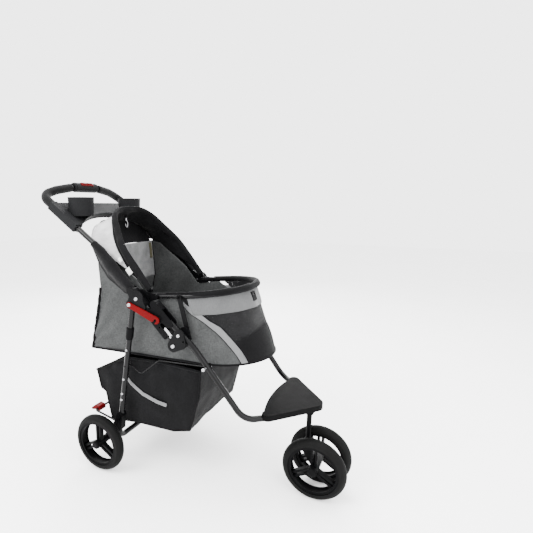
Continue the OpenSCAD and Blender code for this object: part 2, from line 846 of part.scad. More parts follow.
// Region of the tub's front that is mesh and not cloth
module mesh_zone(grow) {
  slab(-tub_y - 20, tub_y + 20)
    polygon([[372 + grow, 452 + grow], [700, 470], [700, 620 - grow], [330 + grow, 592 - grow]]);
}

module front_mesh() {
  color("#3a3a3b") stand() difference() {
    intersection() {
      tub_solid(0.8, 1);
      mesh_zone(0.4);
    }
    tub_solid(2.2, 2.4);
  }
}

module rim_band() {
  color("#b9bbbb") stand() difference() {
    intersection() {
      front_cone(-1.6);
      slab(-rim_y - 20, rim_y + 20) polygon([[312, 628], [700, 628 + 40.7], [700, 620 - 6 + 40.7], [312, 628 - band_h]]);
    }
    front_cone(-0.3);
  }
}

board_l = 520;
// Gap behind the board, which keeps the folded board clear of the front wheels
board_back = 25;

module floor_board() {
  in = cloth_t + 2;
  ang = atan(floor_slope);
  color("#2a2a2b") stand() translate([back_low[0], 0, back_low[1] + cloth_t + 0.5]) rotate([0, -ang, 0])
    linear_extrude(height = board_t) {
      translate([board_back, -tub_y + in]) square([board_l - tub_y - board_back, 2 * (tub_y - in)]);
      intersection() {
        translate([board_l - tub_y, 0]) circle(r = tub_y - in, $fn = 96);
        translate([board_l - tub_y - 1, -tub_y]) square([tub_y, 2 * tub_y]);
      }
    }
}

module cabin_buckle() {
  top_z = rim_z(front_cx + rim_y) - 14;
  lean = (floor_front[0] - top_front[0]) / (top_front[1] - floor_front[1]);
  face_x = floor_front[0] - lean * (top_z - floor_front[1]) + 2.24 + gap / 2;
  color("#101010") stand() translate([face_x, -30, top_z]) rotate([0, -atan(lean), 0])
    difference() {
      translate([0, 0, -30]) cube([7, 26, 30]);
      translate([-1, 5, -12]) cube([11, 16, 4]);
    }
}

module strut(s) {
  top = [strut_top[0], rim_z(strut_top[0])];
  color("#171717") stand() sided(s) difference() {
    slab(-thin_in - 0.3, -thin_in - thin_t + 0.3) bar2d(top, strut_low, 7.5, 7.5);
    pin(strut_low, -fy, 0, 3 + run);
    pin(top, -fy, 0, 5.5 + gap);
  }
}

/* Canopy */

hoop_ang = 50;
hoop_y = rim_y + 4;
hoop_l = 334;
hoop_o = hinge_at;

module canopy_hoop() {
  r = hoop_d / 2;
  dir = [-cos(hoop_ang), 0, sin(hoop_ang)];
  o = [hoop_o[0], 0, hoop_o[1]];
  y = hoop_y;
  flank = o + dir * (hoop_l - y * 0.95 - r);
  crown = o + dir * (hoop_l - r);
  half = y * 0.55;
  pts = [o + dir * 2 + [0, -y, 0], flank + [0, -y, 0], crown + [0, -half, 0],
    crown + [0, half, 0], flank + [0, y, 0], o + dir * 2 + [0, y, 0]];
  color("#131313") stand() {
    difference() {
      union() {
        bent_rod(pts, [160, 100, 100, 160], r);
        both() pin(hoop_o, -hoop_y - r + 1, -hoop_y + r - 1, 9);
      }
    }
    both() pin(hoop_o, -thin_in - thin_t, -hoop_y - r + 1 + eps, 3);
  }
}

module canopy_fabric() {
  color("#1a1a1b") stand() canopy_solid();
}

canopy_back = [-84, 812];

module canopy_solid() {
  o = hoop_o;
  dir = [-cos(hoop_ang), sin(hoop_ang)];
  nrm = [dir[1], -dir[0]] * -1;
  y = hoop_y + hoop_d / 2;
  t = 2;
  a = o + dir * 40 + nrm * 8;
  b = o + dir * (hoop_l - 4) + nrm * 8;
  difference() {
    intersection() {
      slab(-y, y) polygon([o + dir * 70 + nrm * 7, b, canopy_back + [10, 20], back_top + [-2, 22], back_top + [52, 22]]);
      arch_prism(y, hoop_l, 0);
    }
    intersection() {
      slab(-y + t, y - t) polygon([o + dir * 30 - nrm * 8, b - nrm * 8 - dir * t, b - dir * t + nrm * 1, canopy_back + [12, 17], back_top + [0, 15],
        back_top + [0, 0], back_top + [80, -40]]);
      arch_prism(y - t, hoop_l - t, 0);
    }
  }
}

// Prism along the hoop's normal whose outline is the hoop's own arch
module arch_prism(y, l, shift) {
  o = hoop_o;
  ry = min(y, 110);
  frame_at([o[0], 0, o[1]], [-cos(hoop_ang), 0, sin(hoop_ang)], [sin(hoop_ang), 0, cos(hoop_ang)])
    translate([0, 0, -300]) linear_extrude(height = 400) {
      translate([-60, -y]) square([l - ry + 60, 2 * y]);
      for (k = [-1, 1]) translate([l - ry, k * (y - ry)]) circle(r = ry, $fn = 96);
      translate([0, -y + ry]) square([l, 2 * (y - ry)]);
    }
}

module canopy_rear_wire() {
  y = hoop_y - 6;
  p = back_top + [-8, 6];
  q = canopy_back;
  color("#141414") stand()
    bent_rod([[p[0], -y, p[1]], [q[0], -y * 0.92, q[1]], [q[0] - 14, -y * 0.5, q[1] + 44], [q[0] - 14, y * 0.5, q[1] + 44],
      [q[0], y * 0.92, q[1]], [p[0], y, p[1]]], [30, 40, 40, 30], 2);
}

/* Basket */

rail_y = thin_in + thin_t / 2;

function rail_pts() = [p3(rail_pivot, -rail_y), [132, -rail_y, 352], [205, -rail_y, 414], p3(stud_at + [-26, -8], -rail_y), p3(stud_at, -rail_y)];

module basket_wires() {
  r = wire_d / 2;
  color("#161616") stand() difference() {
    union() {
      both() {
        bent_rod(rail_pts(), [16, 22, 20], r * 0.7);
        pin(rail_pivot, -rail_y - 2.2, -rail_y + 2.2, 7);
        pin(stud_at, -rail_y - 2.2, -rail_y + 2.2, 7);
      }
      bent_rod([[205, -rail_y, 414], [205, rail_y, 414]], [], r * 0.7);
    }
    both() pin(rail_pivot, -fy, 0, 3 + run);
    both() pin(stud_at, -fy, 0, 3 + gap);
  }
}

basket_y = basket_w / 2 - 4;

module basket_fabric() {
  out = [[-78, 322], [60, 390], [200, 402], [352, 398], [342, 300], [314, 186], [250, 168], [105, 160], [-16, 144], [-40, 246], [-64, 258]];
  color("#121213") stand() difference() {
    slab(-basket_y, basket_y) polygon(out);
    slab(-basket_y + 3, basket_y - 3) polygon([[-74, 330], [60, 440], [200, 440], [349, 440], [349, 398], [339, 301],
      [311.5, 188.5], [250, 171], [105, 163], [-13.5, 147], [-37.5, 248.5], [-61, 260.5]]);
  }
}

/* Parts */

rear_frame_tube();
rear_wheel_bracket(-1);  // rear_wheel_bracket_right
rear_wheel_bracket(1);  // rear_wheel_bracket_left
rear_axles();
leg_collars();
leg_fasteners();
rear_tyre(-1);  // rear_tyre_right
rear_tyre(1);  // rear_tyre_left
rear_rim(-1);  // rear_rim_right
rear_rim(1);  // rear_rim_left
rear_cap(-1);  // rear_hub_caps_right
rear_cap(1);  // rear_hub_caps_left
brake_bar();
brake_pedals();
handle_tube();
grip(-1);  // grip_right
grip(1);  // grip_left
release_housing_upper();
release_housing_lower();
release_button();
cup_tray();
tray_screws();
pivot_plates(-1);  // pivot_plates_right
pivot_plates(1);  // pivot_plates_left
pivot_bolts();
latch_cover(-1);  // latch_cover_right
latch_cover(1);  // latch_cover_left
latch_slider(-1);  // latch_slider_right
latch_slider(1);  // latch_slider_left
hook_link(-1);  // hook_link_right
hook_link(1);  // hook_link_left
front_frame_tube();
fold_brackets(-1);  // fold_brackets_right
fold_brackets(1);  // fold_brackets_left
hook_studs();
foot_plate();
caster_socket();
caster_fork();
front_axle();
front_tyre(-1);  // front_tyre_right
front_tyre(1);  // front_tyre_left
front_rim(-1);  // front_rim_right
front_rim(1);  // front_rim_left
front_cap(-1);  // front_hub_cap_right
front_cap(1);  // front_hub_cap_left
cabin_rim_tube();
rim_knuckles();
cabin_shell();
front_mesh();
rim_band();
floor_board();
strut(-1);  // strut_right
strut(1);  // strut_left
canopy_hoop();
canopy_fabric();
canopy_rear_wire();
basket_wires();
basket_fabric();
cabin_buckle();
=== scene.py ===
"""Pet stroller: looks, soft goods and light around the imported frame."""
import math
import bpy
import bmesh
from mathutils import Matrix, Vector, noise


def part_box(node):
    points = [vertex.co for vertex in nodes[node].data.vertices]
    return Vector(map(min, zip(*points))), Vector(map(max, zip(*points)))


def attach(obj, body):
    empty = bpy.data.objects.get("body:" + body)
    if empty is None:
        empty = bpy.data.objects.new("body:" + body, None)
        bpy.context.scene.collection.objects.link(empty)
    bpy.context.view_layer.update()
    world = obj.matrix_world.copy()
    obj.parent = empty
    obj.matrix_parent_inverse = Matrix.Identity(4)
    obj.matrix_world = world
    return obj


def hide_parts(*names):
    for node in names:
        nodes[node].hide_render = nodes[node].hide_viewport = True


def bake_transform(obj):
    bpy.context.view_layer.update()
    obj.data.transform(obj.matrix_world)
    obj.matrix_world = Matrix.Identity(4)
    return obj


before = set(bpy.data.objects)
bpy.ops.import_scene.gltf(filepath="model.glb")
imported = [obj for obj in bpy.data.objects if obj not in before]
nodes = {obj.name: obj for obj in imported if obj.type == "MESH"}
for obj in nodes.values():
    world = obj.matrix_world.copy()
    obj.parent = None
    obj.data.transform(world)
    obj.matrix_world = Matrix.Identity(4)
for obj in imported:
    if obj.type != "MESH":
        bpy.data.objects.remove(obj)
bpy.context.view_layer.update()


# ---------------------------------------------------------------- helpers
# x of the rear axle, from which side points are measured
REAR_X = (sum(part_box("rear_axles"), Vector()) / 2).x


def sp(x, z, y=0.0):
    """A side point in mm, x from the rear axle, as a point of the row frame in metres."""
    return Vector((REAR_X + x / 1000, y / 1000, z / 1000))


def lerp(a, b, t):
    return a + (b - a) * t


def smooth(t):
    t = min(1.0, max(0.0, t))
    return t * t * (3 - 2 * t)


def table(pairs, x):
    """Straight-line reading of a list of (x, value) pairs, in rising x."""
    if x <= pairs[0][0]:
        return pairs[0][1]
    for (x0, v0), (x1, v1) in zip(pairs, pairs[1:]):
        if x <= x1:
            return lerp(v0, v1, (x - x0) / (x1 - x0))
    return pairs[-1][1]


def catmull(pts, n):
    """Smooth line of n + 1 points through pts, evenly spread along its length."""
    pts = [Vector(p) for p in pts]
    fine = []
    for i in range(len(pts) - 1):
        p0, p1, p2, p3 = pts[max(i - 1, 0)], pts[i], pts[i + 1], pts[min(i + 2, len(pts) - 1)]
        for k in range(16):
            t = k / 16
            fine.append(0.5 * ((2 * p1) + (p2 - p0) * t + (2 * p0 - 5 * p1 + 4 * p2 - p3) * t * t
                               + (3 * p1 - p0 - 3 * p2 + p3) * t * t * t))
    fine.append(pts[-1])
    return even(fine, n)


def even(pts, n):
    """The same line as n + 1 evenly spread points."""
    run = [0.0]
    for a, b in zip(pts, pts[1:]):
        run.append(run[-1] + (b - a).length)
    out = []
    j = 0
    for i in range(n + 1):
        s = run[-1] * i / n
        while j < len(run) - 2 and run[j + 1] < s:
            j += 1
        d = run[j + 1] - run[j]
        out.append(pts[j].lerp(pts[j + 1], (s - run[j]) / d if d > 1e-9 else 0.0))
    return out


def add_mesh(name, verts, faces, mat, body, shade=True):
    me = bpy.data.meshes.new(name)
    me.from_pydata([tuple(v) for v in verts], [], faces)
    me.validate()
    me.update()
    if shade:
        me.polygons.foreach_set("use_smooth", [True] * len(me.polygons))
    o = bpy.data.objects.new(name, me)
    bpy.context.scene.collection.objects.link(o)
    o.data.materials.append(mat)
    if body:
        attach(o, body)
    return o


def grid(name, rows, mat, body, thick=0.0, closed=False, fold=0.0, scale=30.0, seed=0.0):
    """Sheet through rows of points; rows all have the same number of points. fold moves it along its
    own normal by smooth noise, and thick gives it thickness."""
    nr, nc = len(rows), len(rows[0])
    verts = [v for r in rows for v in r]
    faces = []
    for i in range(nr - 1):
        for j in range(nc - (0 if closed else 1)):
            k = (j + 1) % nc
            faces.append((i * nc + j, i * nc + k, (i + 1) * nc + k, (i + 1) * nc + j))
    o = add_mesh(name, verts, faces, mat, None)
    if fold:
        me = o.data
        normals = [v.normal.copy() for v in me.vertices]
        for v, n in zip(me.vertices, normals):
            p = v.co * scale + Vector((seed, seed * 1.7, 0))
            v.co += n * fold * noise.noise(p)
        me.update()
    if thick:
        m = o.modifiers.new("thick", "SOLIDIFY")
        m.thickness = thick
        m.offset = 0
    if body:
        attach(o, body)
    return o


def tube(name, pts, r, mat, body, sides=16, radius=None, close=False, flat=1.0, up=None):
    """Round or flattened tube along points. radius gives a factor at each point; flat squashes it
    across up."""
    n = len(pts)
    rows = []
    last = None
    for i, p in enumerate(pts):
        a = pts[(i - 1) % n] if close or i else pts[0]
        b = pts[(i + 1) % n] if close or i < n - 1 else pts[-1]
        t = (b - a).normalized()
        if up is not None:
            u = (up - t * up.dot(t)).normalized()
        elif last is None:
            ref = Vector((0, 0, 1)) if abs(t.z) < 0.9 else Vector((1, 0, 0))
            u = (ref - t * ref.dot(t)).normalized()
        else:
            u = (last - t * last.dot(t)).normalized()
        last = u
        w = t.cross(u)
        k = r * (radius(i / (n - 1)) if radius else 1.0)
        rows.append([p + u * (k * flat * math.cos(2 * math.pi * j / sides))
                     + w * (k * math.sin(2 * math.pi * j / sides)) for j in range(sides)])
    if close:
        rows.append(rows[0])
    o = grid(name, rows, mat, None, closed=True)
    bm = bmesh.new()
    bm.from_mesh(o.data)
    if close:
        bmesh.ops.remove_doubles(bm, verts=bm.verts, dist=1e-6)
    else:
        edge = [e for e in bm.edges if e.is_boundary]
        bmesh.ops.holes_fill(bm, edges=edge)
    bmesh.ops.recalc_face_normals(bm, faces=bm.faces)
    bm.to_mesh(o.data)
    bm.free()
    o.data.polygons.foreach_set("use_smooth", [True] * len(o.data.polygons))
    if body:
        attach(o, body)
    return o


def mirrored(pts):
    return [Vector((p.x, -p.y, p.z)) for p in pts]


SIDES = (("right", -1), ("left", 1))


# ---------------------------------------------------------------- materials
class Mat:
    """A node material with a Principled shader, built up by small calls."""

    def __init__(self, name, color, rough=0.5, metal=0.0, **sockets):
        self.m = bpy.data.materials.new(name)
        self.m.use_nodes = True
        self.t = self.m.node_tree
        self.b = self.t.nodes["Principled BSDF"]
        self.color = color
        self.b.inputs["Base Color"].default_value = (*color, 1)
        self.b.inputs["Roughness"].default_value = rough
        self.b.inputs["Metallic"].default_value = metal
        self.b.inputs["Specular IOR Level"].default_value = 0.5 if metal else 0.05
        for k, v in sockets.items():
            self.b.inputs[k.replace("_", " ")].default_value = v
        self.coord = self.node("ShaderNodeTexCoord").outputs["Object"]
        self.height = None

    def node(self, kind, **props):
        n = self.t.nodes.new(kind)
        for k, v in props.items():
            setattr(n, k, v)
        return n

    def link(self, a, b):
        self.t.links.new(a, b)

    def noise(self, scale, detail=3.0, rough=0.55, stretch=None):
        n = self.node("ShaderNodeTexNoise")
        n.inputs["Scale"].default_value = scale
        n.inputs["Detail"].default_value = detail
        n.inputs["Roughness"].default_value = rough
        src = self.coord
        if stretch:
            m = self.node("ShaderNodeMapping")
            m.inputs["Scale"].default_value = stretch
            self.link(src, m.inputs["Vector"])
            src = m.outputs["Vector"]
        self.link(src, n.inputs["Vector"])
        return n.outputs["Fac"]

    def wave(self, scale, direction, distortion=0.0):
        n = self.node("ShaderNodeTexWave", bands_direction=direction)
        n.inputs["Scale"].default_value = scale
        n.inputs["Distortion"].default_value = distortion
        n.inputs["Detail"].default_value = 2.0
        self.link(self.coord, n.inputs["Vector"])
        return n.outputs["Fac"]

    def math(self, op, a, b=None):
        n = self.node("ShaderNodeMath", operation=op)
        for i, v in enumerate((a, b)):
            if v is None:
                continue
            if isinstance(v, (int, float)):
                n.inputs[i].default_value = v
            else:
                self.link(v, n.inputs[i])
        return n.outputs[0]

    def ramp(self, fac, stops):
        n = self.node("ShaderNodeValToRGB")
        els = n.color_ramp.elements
        while len(els) < len(stops):
            els.new(0.5)
        for e, (p, c) in zip(els, stops):
            e.position = p
            e.color = (*c, 1) if len(c) == 3 else c
        self.link(fac, n.inputs["Fac"])
        return n.outputs["Color"]

    def shades(self, fac, low, high, lo_at=0.3, hi_at=0.7):
        """Base colour that runs from low to high times the material's own colour."""
        a = tuple(min(1.0, c * low) for c in self.color)
        b = tuple(min(1.0, c * high) for c in self.color)
        self.link(self.ramp(fac, [(lo_at, a), (hi_at, b)]), self.b.inputs["Base Color"])
        return self

    def gloss(self, fac, low, high):
        n = self.node("ShaderNodeMapRange")
        n.inputs["To Min"].default_value = low
        n.inputs["To Max"].default_value = high
        self.link(fac, n.inputs["Value"])
        self.link(n.outputs["Result"], self.b.inputs["Roughness"])
        return self

    def bump(self, fac, depth, strength=1.0):
        n = self.node("ShaderNodeBump")
        n.inputs["Distance"].default_value = depth
        n.inputs["Strength"].default_value = strength
        self.link(fac, n.inputs["Height"])
        if self.height is not None:
            self.link(self.height, n.inputs["Normal"])
        self.height = n.outputs["Normal"]
        self.link(self.height, self.b.inputs["Normal"])
        return self

    def soft_edge(self, radius):
        n = self.node("ShaderNodeBevel", samples=4)
        n.inputs["Radius"].default_value = radius
        self.height = n.outputs["Normal"]
        self.link(self.height, self.b.inputs["Normal"])
        return self

    def done(self):
        return self.m


def metal_paint():
    m = Mat("Gloss_black_powder_coat", (0.0014, 0.0014, 0.0016), 0.24, Coat_Weight=0.05, Coat_Roughness=0.1,
            Specular_IOR_Level=0.09)
    m.soft_edge(0.0006)
    m.shades(m.noise(60), 0.8, 1.3)
    m.gloss(m.noise(14, 4), 0.18, 0.34)
    return m.bump(m.noise(900, 2), 0.00012, 0.5).done()


def plate_paint():
    m = Mat("Satin_black_steel_plate", (0.0014, 0.0014, 0.0016), 0.38, Specular_IOR_Level=0.05)
    m.soft_edge(0.0008)
    m.shades(m.noise(45), 0.8, 1.4)
    m.gloss(m.noise(22, 4), 0.3, 0.48)
    return m.bump(m.noise(700, 2), 0.00015, 0.5).done()


def bright_steel():
    m = Mat("Bright_zinc_steel", (0.34, 0.34, 0.35), 0.28, 1.0)
    m.soft_edge(0.0005)
    m.shades(m.noise(120, 4), 0.8, 1.1)
    m.gloss(m.noise(300, 2, stretch=(1, 8, 1)), 0.2, 0.42)
    return m.bump(m.noise(900, 2, stretch=(1, 8, 1)), 0.0001, 0.4).done()


def plastic(name, color, rough=0.5, grain=0.00018, coat=0.0):
    m = Mat(name, color, rough, Coat_Weight=coat, Specular_IOR_Level=0.03)
    m.soft_edge(0.0012)
    m.shades(m.noise(18, 4), 0.88, 1.14)
    m.gloss(m.noise(26, 4), rough - 0.07, rough + 0.09)
    return m.bump(m.noise(1300, 2), grain, 0.7).done()


def rubber():
    m = Mat("Black_tyre_rubber", (0.0018, 0.0018, 0.0018), 0.62)
    m.shades(m.noise(9, 5), 0.75, 1.6)
    m.gloss(m.noise(30, 4), 0.5, 0.74)
    return m.bump(m.noise(800, 3), 0.0003, 0.6).done()


def foam():
    m = Mat("Black_foam_grip", (0.0014, 0.0014, 0.0016), 0.82, Sheen_Weight=0.06, Sheen_Roughness=0.5)
    m.shades(m.noise(420, 3), 0.7, 1.5)
    return m.bump(m.noise(1500, 3, 0.7), 0.0006, 0.8).done()


WAVE_PITCH = 3.2      # bands of a wave texture of scale 1, per unit of length


def threads(m, pitch):
    """Thread waves along the three axes of the object's own coordinates."""
    return [m.wave(1 / pitch / WAVE_PITCH, axis) for axis in "XZY"]


def weave(m, pitch, depth):
    """Plain weave bump of crossed threads."""
    a, b, c = threads(m, pitch)
    m.bump(m.math("ADD", m.math("MULTIPLY", a, b), m.math("MULTIPLY", c, 0.5)), depth, 0.5)
    return m


def cloth(name, color, low, high, pitch=0.0016, depth=0.00035, sheen=0.25, rough=0.85, slub=420):
    m = Mat(name, color, rough, Sheen_Weight=sheen, Sheen_Roughness=0.45)
    warp = m.noise(slub, 3, 0.6, (1, 1, 0.22))
    weft = m.noise(slub, 3, 0.6, (0.22, 1, 1))
    broad = m.noise(11, 3)
    f = m.math("ADD", m.math("MULTIPLY", m.math("ADD", warp, weft), 0.36), m.math("MULTIPLY", broad, 0.28))
    m.shades(f, low, high, 0.36, 0.64)
    weave(m, pitch, depth)
    return m.bump(m.noise(26, 4), 0.0016, 0.5).done()


def net(name, color, pitch, open_part, rough=0.7, low=0.8, high=1.2, sheen=0.2, base=0.38):
    """Mesh cloth: crossed threads, with holes between them whose alpha is base."""
    m = Mat(name, color, rough, Sheen_Weight=sheen)
    m.shades(m.noise(30, 3), low, high)
    a, b, c = threads(m, pitch)
    crossed = m.math("MAXIMUM", m.math("GREATER_THAN", a, open_part), m.math("GREATER_THAN", b, open_part))
    thread = m.math("MAXIMUM", crossed, m.math("GREATER_THAN", c, open_part + 0.12))
    m.link(m.math("ADD", m.math("MULTIPLY", thread, 1.0 - base), base), m.b.inputs["Alpha"])
    m.bump(thread, 0.0003, 0.5)
    return m.done()


PAINT = metal_paint()
PLATE = plate_paint()
STEEL = bright_steel()
RIM = plastic("Black_wheel_plastic", (0.0013, 0.0013, 0.0015), 0.42)
BLACK = plastic("Black_moulded_plastic", (0.0013, 0.0013, 0.0015), 0.46)
GREY = plastic("Dark_grey_tray_plastic", (0.0066, 0.0067, 0.0071), 0.5, 0.0003)
PAD = plastic("Textured_foot_plate_plastic", (0.0012, 0.0012, 0.0013), 0.6, 0.0005)
RED = plastic("Red_moulded_plastic", (0.062, 0.0001, 0.0008), 0.36, 0.0001, coat=0.02)
TYRE = rubber()
FOAM = foam()
HEATHER = cloth("Heathered_grey_polyester", (0.0295, 0.0305, 0.0305), 0.6, 1.45, sheen=0.06)
SILVER = cloth("Light_grey_band_cloth", (0.062, 0.063, 0.064), 0.78, 1.15, sheen=0.2, rough=0.6)
REFLECT = cloth("Silver_reflective_tape", (0.095, 0.096, 0.098), 0.8, 1.15, pitch=0.002, depth=0.0004,
                rough=0.5)
DARK = cloth("Black_polyester", (0.0016, 0.0016, 0.0018), 0.5, 2.2, sheen=0.03)
BIND = cloth("Black_binding_tape", (0.0012, 0.0012, 0.0014), 0.6, 1.8, pitch=0.0024, depth=0.0005, sheen=0.03)
MESH = net("Charcoal_mesh_cloth", (0.006, 0.006, 0.0064), 0.0034, 0.55, sheen=0.05)
WHITE_NET = net("Pale_mesh_cloth", (0.34, 0.335, 0.34), 0.004, 0.6, base=0.86)
WINDOW = net("Grey_window_mesh", (0.088, 0.089, 0.09), 0.007, 0.5, low=0.7, high=1.3, base=0.94)
WHITE = cloth("White_woven_tag", (0.55, 0.55, 0.54), 0.94, 1.04, sheen=0.1)
OLIVE = cloth("Olive_woven_tag", (0.04, 0.036, 0.018), 0.9, 1.1)

PAINTS = {
    PAINT: "rear_frame_tube handle_tube front_frame_tube brake_bar cabin_rim_tube canopy_hoop "
           "canopy_rear_wire basket_wires",
    PLATE: "pivot_plates_right pivot_plates_left fold_brackets_right fold_brackets_left strut_right "
           "strut_left",
    STEEL: "rear_axles front_axle leg_fasteners pivot_bolts hook_studs latch_slider_right latch_slider_left",
    RIM: "rear_rim_right rear_rim_left front_rim_right front_rim_left rear_hub_caps_right "
         "rear_hub_caps_left front_hub_cap_right front_hub_cap_left",
    BLACK: "rear_wheel_bracket_right rear_wheel_bracket_left leg_collars tray_screws latch_cover_right "
           "latch_cover_left caster_socket caster_fork rim_knuckles cabin_buckle floor_board",
    GREY: "release_housing_upper release_housing_lower cup_tray",
    PAD: "foot_plate",
    RED: "brake_pedals release_button hook_link_right hook_link_left",
    TYRE: "rear_tyre_right rear_tyre_left front_tyre_right front_tyre_left",
    FOAM: "grip_right grip_left",
    HEATHER: "cabin_shell",
    MESH: "front_mesh",
    SILVER: "rim_band",
    DARK: "canopy_fabric basket_fabric",
}
for mat, names in PAINTS.items():
    for n in names.split():
        o = nodes[n]
        if not o.material_slots:
            o.data.materials.append(mat)
        for s in o.material_slots:
            s.material = mat


# ---------------------------------------------------------------- camera, light, floor
cam_data = bpy.data.cameras.new("Camera")
cam = bpy.data.objects.new("Camera", cam_data)
bpy.context.scene.collection.objects.link(cam)
cam.location = (0.67025, -1.2109, 0.9084)
cam.rotation_euler = (math.radians(90 - 11.07), 0, math.radians(28.61))
cam_data.lens = 27.41
cam_data.sensor_width = 36
cam_data.shift_x = 0.122
cam_data.shift_y = 0.0351
bpy.context.scene.camera = cam


def area(name, loc, target, size, power):
    d = bpy.data.lights.new(name, "AREA")
    d.shape = "RECTANGLE"
    d.size, d.size_y = size
    d.energy = power
    o = bpy.data.objects.new(name, d)
    bpy.context.scene.collection.objects.link(o)
    o.location = loc
    o.rotation_euler = (Vector(target) - Vector(loc)).to_track_quat("-Z", "Y").to_euler()
    return o


area("Key", (-1.1, -2.0, 2.4), (0, 0, 0.5), (1.6, 1.6), 170)
area("Fill", (2.4, -1.4, 1.5), (0, 0, 0.5), (1.6, 2.0), 60)
area("Top", (0.2, 0.4, 3.0), (0, 0, 0.4), (2.4, 2.4), 150)
area("Back", (-1.4, 2.2, 1.8), (0, 0, 0.6), (1.6, 1.6), 90)
world = bpy.data.worlds.new("Studio")
bpy.context.scene.world = world
world.use_nodes = True
world.node_tree.nodes["Background"].inputs["Color"].default_value = (1, 1, 1, 1)
world.node_tree.nodes["Background"].inputs["Strength"].default_value = 4.0

floor_mat = Mat("Pale_floor", (0.95, 0.95, 0.95), 0.75)
floor_mat.shades(floor_mat.noise(2.0), 0.985, 1.015)
FLOOR = floor_mat.done()
HALF = 9.0        # half side of the floor
floor = add_mesh("Floor", [(-HALF, -HALF, 0), (HALF, -HALF, 0), (HALF, HALF, 0), (-HALF, HALF, 0)],
                 [(0, 1, 2, 3)], FLOOR, None, False)


# ---------------------------------------------------------------- cabin tub
# sizes in mm, x from the rear axle
TUB_Y = 162.0                                   # half width
BACK_LOW = (-96, 403)                           # lowest corner at the back
SILL_Z, SEAM_Z = 628, 768                       # the rear window's sill and the canopy's seam
CENTRE_LOW, CENTRE_TOP = 366.0, 291.0           # centre of the round front at the floor and at the rim
RIM0_X, RIM0_Z, RIM_SLOPE = 170.0, 622.0, 0.105
FLOOR_SLOPE = 0.05
BACK_LINE = [(403, -94), (440, -86), (500, -72), (560, -58), (628, -44), (700, -50), (770, -58)]
SIDE_TOP = [(-60, 768), (-16, 762), (60, 708), (108, 672), (140, 634), (158, 612), (240, 622)]
SIDE_TOP_X = 240                                # in front of this the side cloth ends at the rim


def floor_z(x):
    return BACK_LOW[1] + FLOOR_SLOPE * (x - BACK_LOW[0])


def rim_z(x):
    return RIM0_Z + RIM_SLOPE * (x - RIM0_X)


def tub_centre(v):
    return lerp(CENTRE_LOW, CENTRE_TOP, v)


def back_x(z):
    """Back edge of the tub in the side view."""
    return table(BACK_LINE, z)


def tub_point(s, v, out=0.0):
    """Point on the tub's wall, out mm outside it. s runs round it in mm, from where the front's curve
    starts, and v from floor (0) to rim (1)."""
    r = TUB_Y + out
    cx = tub_centre(v)
    if s <= 0:
        x, y = cx + s, -r
    else:
        a = s / TUB_Y
        x, y = cx + r * math.sin(a), -r * math.cos(a)
    zf, zr = floor_z(x), rim_z(x) - 6
    return sp(x, lerp(zf, zr, v), y)


FRONT_S = TUB_Y * math.pi / 2       # s of the foremost point
# edges of the tape, as s against v
STRIPE_REAR = [(0.0, 116), (0.13, 108), (0.33, 88), (0.48, 68), (0.63, 40), (0.75, 8), (0.88, -12),
               (1.0, -34)]
STRIPE_FRONT = [(0.0, 140), (0.2, 128), (0.38, 108), (0.55, 88), (0.65, 60), (0.8, 32), (0.88, 8),
                (1.0, -14)]
TAPE_TOP = 0.93                     # v where the tape ends


def sided(p, sign):
    """A point of the right side (y below 0), on the side that sign gives."""
    return Vector((p.x, p.y * -sign, p.z))


def side_crease(p, x, v):
    """Depth in metres of creases that fan out from the back's low corner, and of small ones at the hem."""
    corner = sp(*BACK_LOW)
    fan = math.atan2(p.z - corner.z, p.x - corner.x + 0.02)
    d = math.hypot(p.z - corner.z, p.x - corner.x)
    return (0.0042 * math.sin(fan * 17 + 0.8) * math.exp(-((d - 0.14) / 0.15) ** 2)
            + 0.0016 * math.sin(x * 0.05 + v * 5) * math.exp(-((v - 0.12) / 0.16) ** 2))


def side_rows(sign):
    """The grey side cloth, from the back edge to the tape, floor to rim or canopy seam."""
    nu, nv = 90, 56
    rows = []
    for i in range(nu + 1):
        u = i / nu
        row = []
        for j in range(nv + 1):
            v = j / nv
            s_front = table(STRIPE_REAR, v)
            s_back = back_x(lerp(BACK_LOW[1], SEAM_Z, v)) - tub_centre(v)
            s = lerp(s_back, s_front, u)
            p = tub_point(s, v)
            # rises from the rim to the canopy's seam at the back, and bulges a little
            x = (p.x - REAR_X) * 1000
            if x < SIDE_TOP_X:
                p.z = lerp(floor_z(x), table(SIDE_TOP, x), v) / 1000
            bulge = 0.004 * math.sin(math.pi * v) * math.sin(math.pi * u) - side_crease(p, x, v)
            n = Vector((0, -1, 0)) if s <= 0 else Vector((math.sin(s / TUB_Y), -math.cos(s / TUB_Y), 0))
            row.append(sided(p + n * (bulge - 0.0006), sign))
        rows.append(row)
    return rows


def tape_rows(sign, nu=6, nv=60, out=1.2):
    """The tape between the side cloth and the front mesh."""
    rows = []
    for i in range(nu + 1):
        row = []
        for j in range(nv + 1):
            v = TAPE_TOP * (j / nv)
            s = lerp(table(STRIPE_REAR, v), table(STRIPE_FRONT, v), i / nu)
            row.append(sided(tub_point(s, v, out), sign))
        rows.append(row)
    return rows


def front_mesh_rows():
    """Mesh that wraps the cabin's front from one side's tape to the other's."""
    nu, nv = 120, 40
    rows = []
    for i in range(nu + 1):
        u = i / nu
        row = []
        for j in range(nv + 1):
            v = j / nv
            a = table(STRIPE_FRONT, v)
            sag = 6 * math.sin(math.pi * v) * (0.5 + 0.5 * math.cos((u - 0.5) * 14))
            row.append(tub_point(lerp(a, 2 * FRONT_S - a, u), v, -sag))
        rows.append(row)
    return rows


